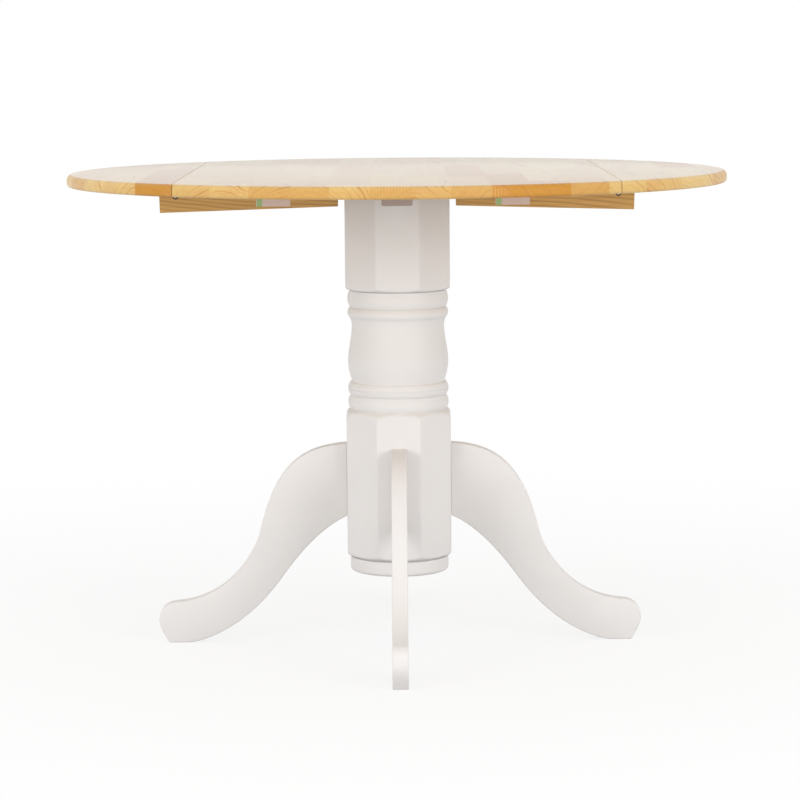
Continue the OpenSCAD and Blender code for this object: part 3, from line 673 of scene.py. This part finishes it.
class TABLE_OT_top(Operator):
    """Makes the fixed panel and the two leaves of finger-jointed rubberwood"""
    bl_idname = "table.top"
    bl_label = "Top"

    def execute(self, context):
        wood = rubberwood()
        panel = top_slice("panel", PANEL_LOW.x, PANEL_HIGH.x)
        bolt_x = abs(INSERT_LOW.x + INSERT_HIGH.y)
        bores = [cylinder((s * bolt_x, 0, PANEL_LOW.z - MM), (s * bolt_x, 0, INSERT_HIGH.z),
                          INSERT_HIGH.y + PLAY) for s in SIDES.values()]
        panel = cut(panel, *knuckle_grooves(-1), *knuckle_grooves(1), *bores)
        place_piece("fixed_panel", panel, "pedestal", "natural_wood", wood, "centre_panel")
        for side, sign in SIDES.items():
            low_x = SEAM_X if sign > 0 else None
            high_x = None if sign > 0 else -SEAM_X
            leaf = cut(top_slice("leaf", low_x, high_x), *knuckle_grooves(sign))
            place_piece(side + "_drop_leaf", leaf, side + "_leaf_body", "natural_wood", wood, side + "_leaf")
        return {"FINISHED"}


# Column

def turned_heights():
    """Heights at which the turned forms begin: the lowest bead, the second, the vase, the third bead,
    the top bead and the upper block."""
    look = bpy.context.scene.table_column
    heights = [COLUMN_LOW.z + look.foot_block]
    for form in (look.bead_a, look.bead_b, look.vase, look.bead_c, look.bead_d):
        heights.append(heights[-1] + form)
    return heights


def turned_profile():
    """The turned outline of the column as (radius, z), from its foot up."""
    look = bpy.context.scene.table_column
    groove, crown = look.groove, look.bead - look.groove
    # The blocks' ends swell this much, and run out past the corners of the octagon
    swell = 2 * MM
    outside = COLUMN_HIGH.x / math.cos(EIGHTH / 2) + swell
    # The narrow step beside a bead
    quirk = 1 * MM
    foot = COLUMN_LOW.z
    turned, bead_b, vase, bead_c, bead_d, head = turned_heights()
    neck_height = look.vase - look.neck_drop

    def vase_radius(h):
        if h < look.belly_height:
            return look.belly - (look.belly - look.neck) * (
                1 - math.cos(math.pi / 2 * (look.belly_height - h) / look.belly_height))
        if h < neck_height:
            return look.belly - (look.belly - look.neck) / 2 * (
                1 - math.cos(math.pi * (h - look.belly_height) / (neck_height - look.belly_height)))
        return look.neck + (groove - look.neck) * (
            1 - math.cos(math.pi / 2 * (h - neck_height) / (look.vase - neck_height)))

    scribed = False
    lip, shallow = look.crease / 2, groove - look.crease_shallow
    points = arc((groove, foot), (outside, foot + look.shoulder), swell, 24)
    points += arc((outside, turned - look.foot_shoulder), (groove, turned), swell, 30)
    points += arc((groove, turned), (groove, bead_b - lip), crown, 22)[1:]
    points += [Vector((shallow, bead_b))]
    line = (bead_b + vase - quirk) / 2
    for point in arc((groove, bead_b + lip), (groove, vase - quirk), crown, 22):
        if abs(point.y - line) > look.scribe:
            points.append(point)
        elif not scribed:
            scribed = True
            for depth, share in ((0.1 * MM, -1 / 2), (MM, -1 / 4), (MM, 1 / 4), (0.1 * MM, 1 / 2)):
                points.append(Vector((groove + crown - depth, line + look.scribe * share)))
    steps = 44
    for h in (look.vase * i / steps for i in range(steps + 1)):
        points.append(Vector((vase_radius(h), vase + h)))
    points += arc((groove, bead_c), (groove, bead_d - lip), crown, 18)[1:]
    points += [Vector((shallow, bead_d))]
    points += arc((groove, bead_d + lip), (groove, head - quirk), crown, 26)
    points += [Vector((groove - look.crease_deep, head - quirk / 2))]
    points += arc((groove, head), (outside, head + look.shoulder), swell, 24)
    points.append(Vector((outside, COLUMN_HIGH.z)))
    return points


def octagon_turns():
    """Angles round the column, close together at the octagon's corners."""
    near, on_flat, on_bend = math.radians(3), 14, 12
    flat = [near + (EIGHTH - 2 * near) * i / on_flat for i in range(on_flat)]
    bend = [EIGHTH - near + 2 * near * i / on_bend for i in range(on_bend)]
    return [EIGHTH / 2 + EIGHTH * k + a for k in range(8) for a in flat + bend]


def column_mesh():
    """Octagonal prism and turning in one: at each height the outline is the smaller of the two radii,
    rounded over where they meet as paint rounds an arris."""
    look = bpy.context.scene.table_column
    # Turned forms end crisply, and only flats that face a point by less than this angle bound it
    crisp, facing = 0.1 * MM, 1.2
    turns = octagon_turns()
    flats = []
    for a in turns:
        away = [(a - EIGHTH * k + math.pi) % (2 * math.pi) - math.pi for k in range(8)]
        reach = sorted(COLUMN_HIGH.x / math.cos(d) for d in away if abs(d) < facing)
        flats.append(soft_min(reach[0], reach[1], look.arris))
    turned, *_, head = turned_heights()
    rings = []
    for radius, z in turned_profile():
        width = crisp if turned < z < head else look.shoulder_round
        rings.append(ring_of([soft_min(radius, flat, width) for flat in flats], turns, z))
    return to_mesh("column", loft(rings), COLUMN_SHARP)


class TABLE_OT_column(Operator):
    """Makes the painted column, octagonal with a turned middle"""
    bl_idname = "table.column"
    bl_label = "Column"

    def execute(self, context):
        look = context.scene.table_column
        # Half the width of the bar's slot, and how far the cutters reach across and past the column
        gap, across, past = BAR_HIGH.x + PLAY, 200 * MM, 10 * MM
        slot = prism([(-gap, -across), (gap, -across), (gap, across), (-gap, across)],
                     BAR_LOW.z - PLAY, COLUMN_HIGH.z + past)
        reach = look.core / 2 / math.cos(EIGHTH / 2)
        turns = [EIGHTH / 2 + EIGHTH * k for k in range(8)]
        octagon = [(reach * math.cos(a), reach * math.sin(a)) for a in turns]
        core = prism(octagon, COLUMN_LOW.z - past, COLUMN_LOW.z + look.core_height)
        mesh = cut(column_mesh(), slot, core)
        mesh.shade_smooth()
        mesh.set_sharp_from_angle(angle=COLUMN_SHARP)
        place_painted("turned_column", mesh, "column")
        return {"FINISHED"}


# Legs

def leg_outline():
    """Outline of a leg in (distance from the middle, z), the same curves as the CAD's."""
    look = bpy.context.scene.table_legs
    start, span = LEG_LOW.x, LEG_HIGH.x - LEG_LOW.x

    def at(share, height_share, height):
        return Vector((start + share * span, height_share * height))

    top, low, foot, steps = look.top, look.low, look.foot, look.steps
    waist, instep = at(0.467, 0.543, top), at(0.912, 1, foot)
    toe, tread = at(1, 0.57, foot), at(0.947, 0, foot)
    heel = tread - Vector((look.flat, 0))
    hollow = at(0.365, 0.48, low)
    points = bezier(at(0, 1, top), at(0.192, 0.985, top), at(0.374, 0.939, top), waist, steps)
    points += bezier(waist, at(0.477, 0.5, top), at(0.592, 1.09, foot), instep, steps)
    points += bezier(instep, at(0.965, 0.985, foot), at(1, 0.8, foot), toe, steps // 2)
    points += bezier(toe, at(1, 0.39, foot), at(0.976, 0.21, foot), tread, steps // 2)
    points += [tread]
    points += bezier(heel, heel - Vector((5 * MM, 0)), at(0.595, 0.09, foot), hollow, steps)
    points += bezier(hollow, at(0.294, 0.624, low), at(0.17, 0.886, low), at(0, 1, low), steps)
    points += [at(0, 1, low)]
    return points


class TABLE_OT_legs(Operator):
    """Makes the four S-curved legs, sawn from board with eased arrises"""
    bl_idname = "table.legs"
    bl_label = "Legs"

    def execute(self, context):
        look = context.scene.table_legs
        for turn, name in enumerate(("right", "back", "left", "front")):
            shape = prism(leg_outline(), LEG_LOW.y, LEG_HIGH.y, "Y")
            sides = [f for f in shape.faces if abs(f.normal.y) > 0.9]
            edges = {e for f in sides for e in f.edges}
            bmesh.ops.bevel(shape, geom=list(edges), offset=look.arris, segments=3, profile=0.5,
                            affect="EDGES", clamp_overlap=True)
            bmesh.ops.rotate(shape, verts=shape.verts, matrix=Matrix.Rotation(math.pi / 2 * turn, 3, "Z"))
            place_painted(name + "_curved_leg", to_mesh(name + "_leg", shape), name + "_leg")
        return {"FINISHED"}


class TABLE_OT_disc(Operator):
    """Makes the turned disc that closes the column below"""
    bl_idname = "table.disc"
    bl_label = "Base disc"

    def execute(self, context):
        column = context.scene.table_column
        rim, low, top = DISC_HIGH.x, DISC_LOW.z, COLUMN_LOW.z
        edge, step, gap, arris = 6 * MM, 5 * MM, 2 * MM, 1.2 * MM
        spigot = column.core / 2 - PLAY
        points = corner(rim - edge, low + edge, edge, -90, 0, 10)
        points += corner(rim - arris, top - gap - arris, arris, 0, 90, 4)
        points += [(rim - step, top - gap), (rim - step, top), (spigot, top), (spigot, DISC_HIGH.z)]
        place_painted("turned_disc", to_mesh("disc", lathe(points, DISC_SIDES)), "base_disc")
        return {"FINISHED"}


# Fasteners

def places_of(node):
    """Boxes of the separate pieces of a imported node, from left to right."""
    shape = bmesh.new()
    shape.from_mesh(frame["nodes"][node].data)
    bmesh.ops.remove_doubles(shape, verts=shape.verts, dist=SAME_PLACE)
    shape.verts.ensure_lookup_table()
    seen = set()
    boxes = []
    for first in shape.verts:
        if first.index in seen:
            continue
        seen.add(first.index)
        found = [first]
        for vertex in found:
            for edge in vertex.link_edges:
                other = edge.other_vert(vertex)
                if other.index not in seen:
                    seen.add(other.index)
                    found.append(other)
        low = Vector([min(v.co[i] for v in found) for i in range(3)])
        high = Vector([max(v.co[i] for v in found) for i in range(3)])
        boxes.append((low, high))
    shape.free()
    return sorted(boxes, key=lambda box: (round(box[0].x, 4), round(box[0].y, 4)))


def scatter(name, part, places):
    """One mesh of a part's copies, each turned further than the last."""
    shape = bmesh.new()
    for i, place in enumerate(places):
        first = len(shape.verts)
        shape.from_mesh(part)
        shape.verts.ensure_lookup_table()
        move = Matrix.Translation(place) @ Matrix.Rotation(SCATTER_TURN * i, 4, "Z")
        bmesh.ops.transform(shape, matrix=move, verts=shape.verts[first:])
    return to_mesh(name, shape)


def shaft(heights, shank, core, tip, pitch, sides):
    """Rings of a fastener's shaft. The heights are where its plain part starts and ends, where its
    rolled thread ends, and its tip."""
    start, plain, threaded, end = heights
    run_in = 0.3 * MM
    return [circle(shank, start, sides), circle(shank, plain, sides),
            *thread(plain + run_in, threaded, core, shank, pitch, sides), circle(tip, end, sides)]


def wood_screw(head, length):
    """A countersunk screw that points up from z = 0, with a cross recess and a rolled thread."""
    look = bpy.context.scene.table_fasteners
    shank = head / 2
    rim, cone, point, tip = 0.15 * MM, head - shank, 3 * MM, 0.25 * MM
    rings = [circle(head, 0, SCREW_SIDES), circle(head, rim, SCREW_SIDES)]
    heights = (cone, cone + SCREW_PLAIN * length, length - point, length)
    rings += shaft(heights, shank, SCREW_CORE * shank, tip, look.screw_pitch, SCREW_SIDES)
    reach, half = look.recess / 2, look.recess_width / 2
    opening = [(-reach, -half), (reach, -half), (reach, half), (-reach, half)]
    # A slot of the cross narrows towards its bottom
    narrow, depth = 0.35, 2 * MM
    tools = []
    for turn in range(2):
        slot = loft([[(scale * x, y, z) for x, y in opening] for scale, z in ((1, -PLAY), (narrow, depth))])
        bmesh.ops.rotate(slot, verts=slot.verts, matrix=Matrix.Rotation(math.pi / 2 * turn, 3, "Z"))
        tools.append(slot)
    return cut(to_mesh("wood_screw", loft(rings)), *tools)


def hex_bolt(flats, length):
    """A bolt that points up from z = 0, with a chamfered hexagonal head and a rolled thread."""
    look = bpy.context.scene.table_fasteners
    shank, head, point, chamfer = look.shank, look.head_height, 0.6 * MM, math.radians(30)
    turns = turns_of(BOLT_SIDES)
    hexagon = [flats / 2 / math.cos((a + math.pi / 6) % (math.pi / 3) - math.pi / 6) for a in turns]
    rings = []
    # The chamfer cuts the hexagon's corners within a fifth of the head's height
    for z in (head * share for share in (0, 0.04, 0.08, 0.12, 0.16, 0.2, 1)):
        cone = BOLT_FACE * flats / 2 + z / math.tan(chamfer)
        rings.append(ring_of([min(reach, cone) for reach in hexagon], turns, z))
    heights = (head, head + BOLT_PLAIN * (length - head), length - point, length)
    rings += shaft(heights, shank, BOLT_CORE * shank, BOLT_TIP * shank, look.bolt_pitch, BOLT_SIDES)
    return to_mesh("hex_bolt", loft(rings))


class TABLE_OT_fasteners(Operator):
    """Makes the wood screws and the bolts that the supports turn on"""
    bl_idname = "table.fasteners"
    bl_label = "Fasteners"

    def execute(self, context):
        look = context.scene.table_paint
        zinc = pressed_steel("zinc_plated_steel", look.zinc, smooth=0.25, dull=0.5)
        dark = pressed_steel("burnished_dark_steel", look.bronze, smooth=0.35, dull=0.6)
        bodies = frame["record"]["behaviour"]["bodies"]
        body_of = {node: body for body, nodes in bodies.items() for node in nodes}
        for row in frame["record"]["subparts"]:
            node, slot = row["node"], row["material_slot"]
            if not node.endswith(MADE_AGAIN):
                continue
            boxes = places_of(node)
            low, high = boxes[0]
            if node.endswith("_screws"):
                part = wood_screw((high.x - low.x) / 2, high.z - low.z)
            else:
                part = hex_bolt(high.y - low.y, high.z - low.z)
            places = [((a.x + b.x) / 2, (a.y + b.y) / 2, a.z) for a, b in boxes]
            mesh = scatter(node, part, places)
            bpy.data.meshes.remove(part)
            steel = dark if slot == "hinge_steel" else zinc
            place_piece("fitted_" + node, mesh, body_of[node], slot, steel, node)
        return {"FINISHED"}


def ease(node, width):
    """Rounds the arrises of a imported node."""
    weld = node.modifiers.new("weld", "WELD")
    weld.merge_threshold = SAME_PLACE
    bevel = node.modifiers.new("arris", "BEVEL")
    bevel.width = width
    bevel.segments = 2
    bevel.limit_method = "ANGLE"
    bevel.angle_limit = EASED


class TABLE_OT_fittings(Operator):
    """Finishes the supports, hinges, bar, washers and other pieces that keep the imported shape"""
    bl_idname = "table.fittings"
    bl_label = "Fittings"

    def execute(self, context):
        look = context.scene.table_paint
        finishes = {
            "support_wood": support_timber(),
            "zinc_steel": bpy.data.materials["zinc_plated_steel"],
            "hinge_steel": bpy.data.materials["burnished_dark_steel"],
            "bar_steel": powder_coat("grey_powder_coat", look.powder, grain=0.6 * MM),
            "plug_plastic": powder_coat("moulded_grey_plastic", linear("B4A49F"), grain=0.9 * MM),
            "nylon": powder_coat("natural_nylon", linear("E4E1D6"), grain=1.2 * MM),
            "insert_brass": turned_brass(),
            "label_paper": label_paper(),
        }
        for row in frame["record"]["subparts"]:
            node = frame["nodes"][row["node"]]
            material = finishes.get(row["material_slot"])
            if material is None or row["node"].endswith(MADE_AGAIN):
                continue
            for place in node.material_slots:
                place.material = material
            if not node.material_slots:
                node.data.materials.append(material)
            width = look.timber_arris if row["material_slot"] == "support_wood" else look.metal_arris
            # Labels, inserts and glide washers are thin or hidden and keep their edges
            if row["material_slot"] not in ("label_paper", "insert_brass", "nylon"):
                ease(node, width)
        return {"FINISHED"}


# Stage

def floor_material():
    """Matt white paper on the floor: the camera and mirrors see it mostly as plain white, so that a
    soft shadow shows near the feet and none of it farther out."""
    material, add, place = new_material("matt_white_paper")
    away = add("VectorMath", {0: place}, operation="LENGTH")
    strength = add("MapRange", {"Value": away, "From Min": 0.6, "From Max": 2.2, "To Min": 0.8},
                   interpolation_type="SMOOTHSTEP")
    path = add("LightPath")
    seen = add("Math", {0: path.outputs["Is Camera Ray"], 1: path.outputs["Is Glossy Ray"]},
               operation="MAXIMUM")
    shown = add("Math", {0: seen, 1: path.outputs["Is Transmission Ray"]}, operation="MAXIMUM")
    share = add("Math", {0: shown, 1: strength}, operation="MULTIPLY")
    paper = add("Mix", {0: path.outputs["Is Camera Ray"], 6: linear("C0C0C0"), 7: linear("F2F2F2")},
                data_type="RGBA")
    matt = add("BsdfDiffuse", {"Color": paper})
    light = add("Emission", {"Color": linear("FFFFFF"), "Strength": 1.0})
    mixed = add("MixShader", {0: share, 1: matt, 2: light})
    add("OutputMaterial", {"Surface": mixed})
    return material


class TABLE_OT_stage(Operator):
    """Makes the camera, the pale floor, the surroundings and the lamps"""
    bl_idname = "table.stage"
    bl_label = "Stage"

    def execute(self, context):
        look = context.scene.table_stage
        scene = context.scene
        camera = new_object("camera", bpy.data.cameras.new("camera"))
        camera.data.sensor_width = 36
        camera.data.lens = look.lens
        camera.data.shift_x = look.shift
        camera.data.clip_end = CLIP_END
        aim = Matrix.Rotation(math.pi / 2 - look.pitch, 4, "X") @ Matrix.Rotation(look.roll, 4, "Z")
        camera.matrix_world = Matrix.Translation((0, -look.distance, look.height)) @ aim
        scene.camera = camera

        floor_shape = bmesh.new()
        bmesh.ops.create_circle(floor_shape, cap_ends=True, segments=96, radius=FLOOR_RADIUS)
        floor_mesh = bpy.data.meshes.new("floor")
        floor_shape.to_mesh(floor_mesh)
        floor_shape.free()
        floor_mesh.materials.append(floor_material())
        floor = new_object("floor", floor_mesh)

        world = bpy.data.worlds.new("studio")
        scene.world = world
        world.use_nodes = True
        world.node_tree.nodes.clear()
        add = partial(add_node, world.node_tree)
        path = add("LightPath")
        gloss = add("Math", {0: path.outputs["Is Glossy Ray"], 1: path.outputs["Is Transmission Ray"]},
                    operation="MAXIMUM")
        in_gloss = add("Math", {0: gloss, 1: look.mirrored - look.ambient, 2: look.ambient},
                       operation="MULTIPLY_ADD")
        to_camera = add("Mix", {0: path.outputs["Is Camera Ray"], 2: in_gloss, 3: 1.0})
        light = add("Background", {"Color": linear("FFFFFF"), "Strength": to_camera})
        add("OutputWorld", {"Surface": light})

        lamps = (("left_softbox", (-3.0, -3.0, 1.25), look.sides),
                 ("right_softbox", (3.0, -3.0, 1.25), look.sides),
                 ("front_softbox", (0.0, -4.6, 1.0), look.front))
        for name, place, power in lamps:
            lamp = new_object(name, bpy.data.lights.new(name, "AREA"))
            lamp.data.shape = "DISK"
            lamp.data.size = LAMP_SIZE
            lamp.data.energy = power
            lamp.visible_camera = False
            # Mirrored in the glossy top, a lamp would whiten the wood seen from behind
            lamp.visible_glossy = False
            lamp.location = place
            lamp.rotation_euler = (LAMP_AIM - Vector(place)).to_track_quat("-Z", "Y").to_euler()
        scene.view_settings.view_transform = "Standard"
        return {"FINISHED"}


class TABLE_OT_paint(Operator):
    """Mixes the white lacquer that the column, legs and disc share"""
    bl_idname = "table.paint"
    bl_label = "White lacquer"

    def execute(self, context):
        white_lacquer()
        return {"FINISHED"}


class TABLE_PT_panel(Panel):
    """Lists the pieces of the table"""
    bl_idname = "TABLE_PT_panel"
    bl_label = "Drop-leaf table"
    bl_space_type = "VIEW_3D"
    bl_region_type = "UI"
    bl_category = "Table"

    def draw(self, context):
        for operator in OPERATORS:
            self.layout.operator(operator.bl_idname)
        for group in SETTINGS:
            box = self.layout.box()
            settings = getattr(context.scene, group)
            for name in settings.__annotations__:
                box.prop(settings, name)


SETTINGS = {"table_top": TopSettings, "table_column": ColumnSettings, "table_legs": LegSettings,
            "table_paint": PaintSettings, "table_fasteners": FastenerSettings, "table_stage": StageSettings}
OPERATORS = (TABLE_OT_stage, TABLE_OT_paint, TABLE_OT_top, TABLE_OT_column, TABLE_OT_legs, TABLE_OT_disc,
             TABLE_OT_fasteners, TABLE_OT_fittings)


def register():
    """Adds the settings, the operators and the panel."""
    for group in (*SETTINGS.values(), *OPERATORS, TABLE_PT_panel):
        bpy.utils.register_class(group)
    for name, group in SETTINGS.items():
        setattr(bpy.types.Scene, name, PointerProperty(type=group))


def unregister():
    """Takes them away again."""
    for name in SETTINGS:
        delattr(bpy.types.Scene, name)
    for group in reversed((*SETTINGS.values(), *OPERATORS, TABLE_PT_panel)):
        bpy.utils.unregister_class(group)


def main():
    """Makes every piece in order."""
    register()
    for operator in OPERATORS:
        group, name = operator.bl_idname.split(".")
        getattr(getattr(bpy.ops, group), name)()


if __name__ == "__main__":
    main()
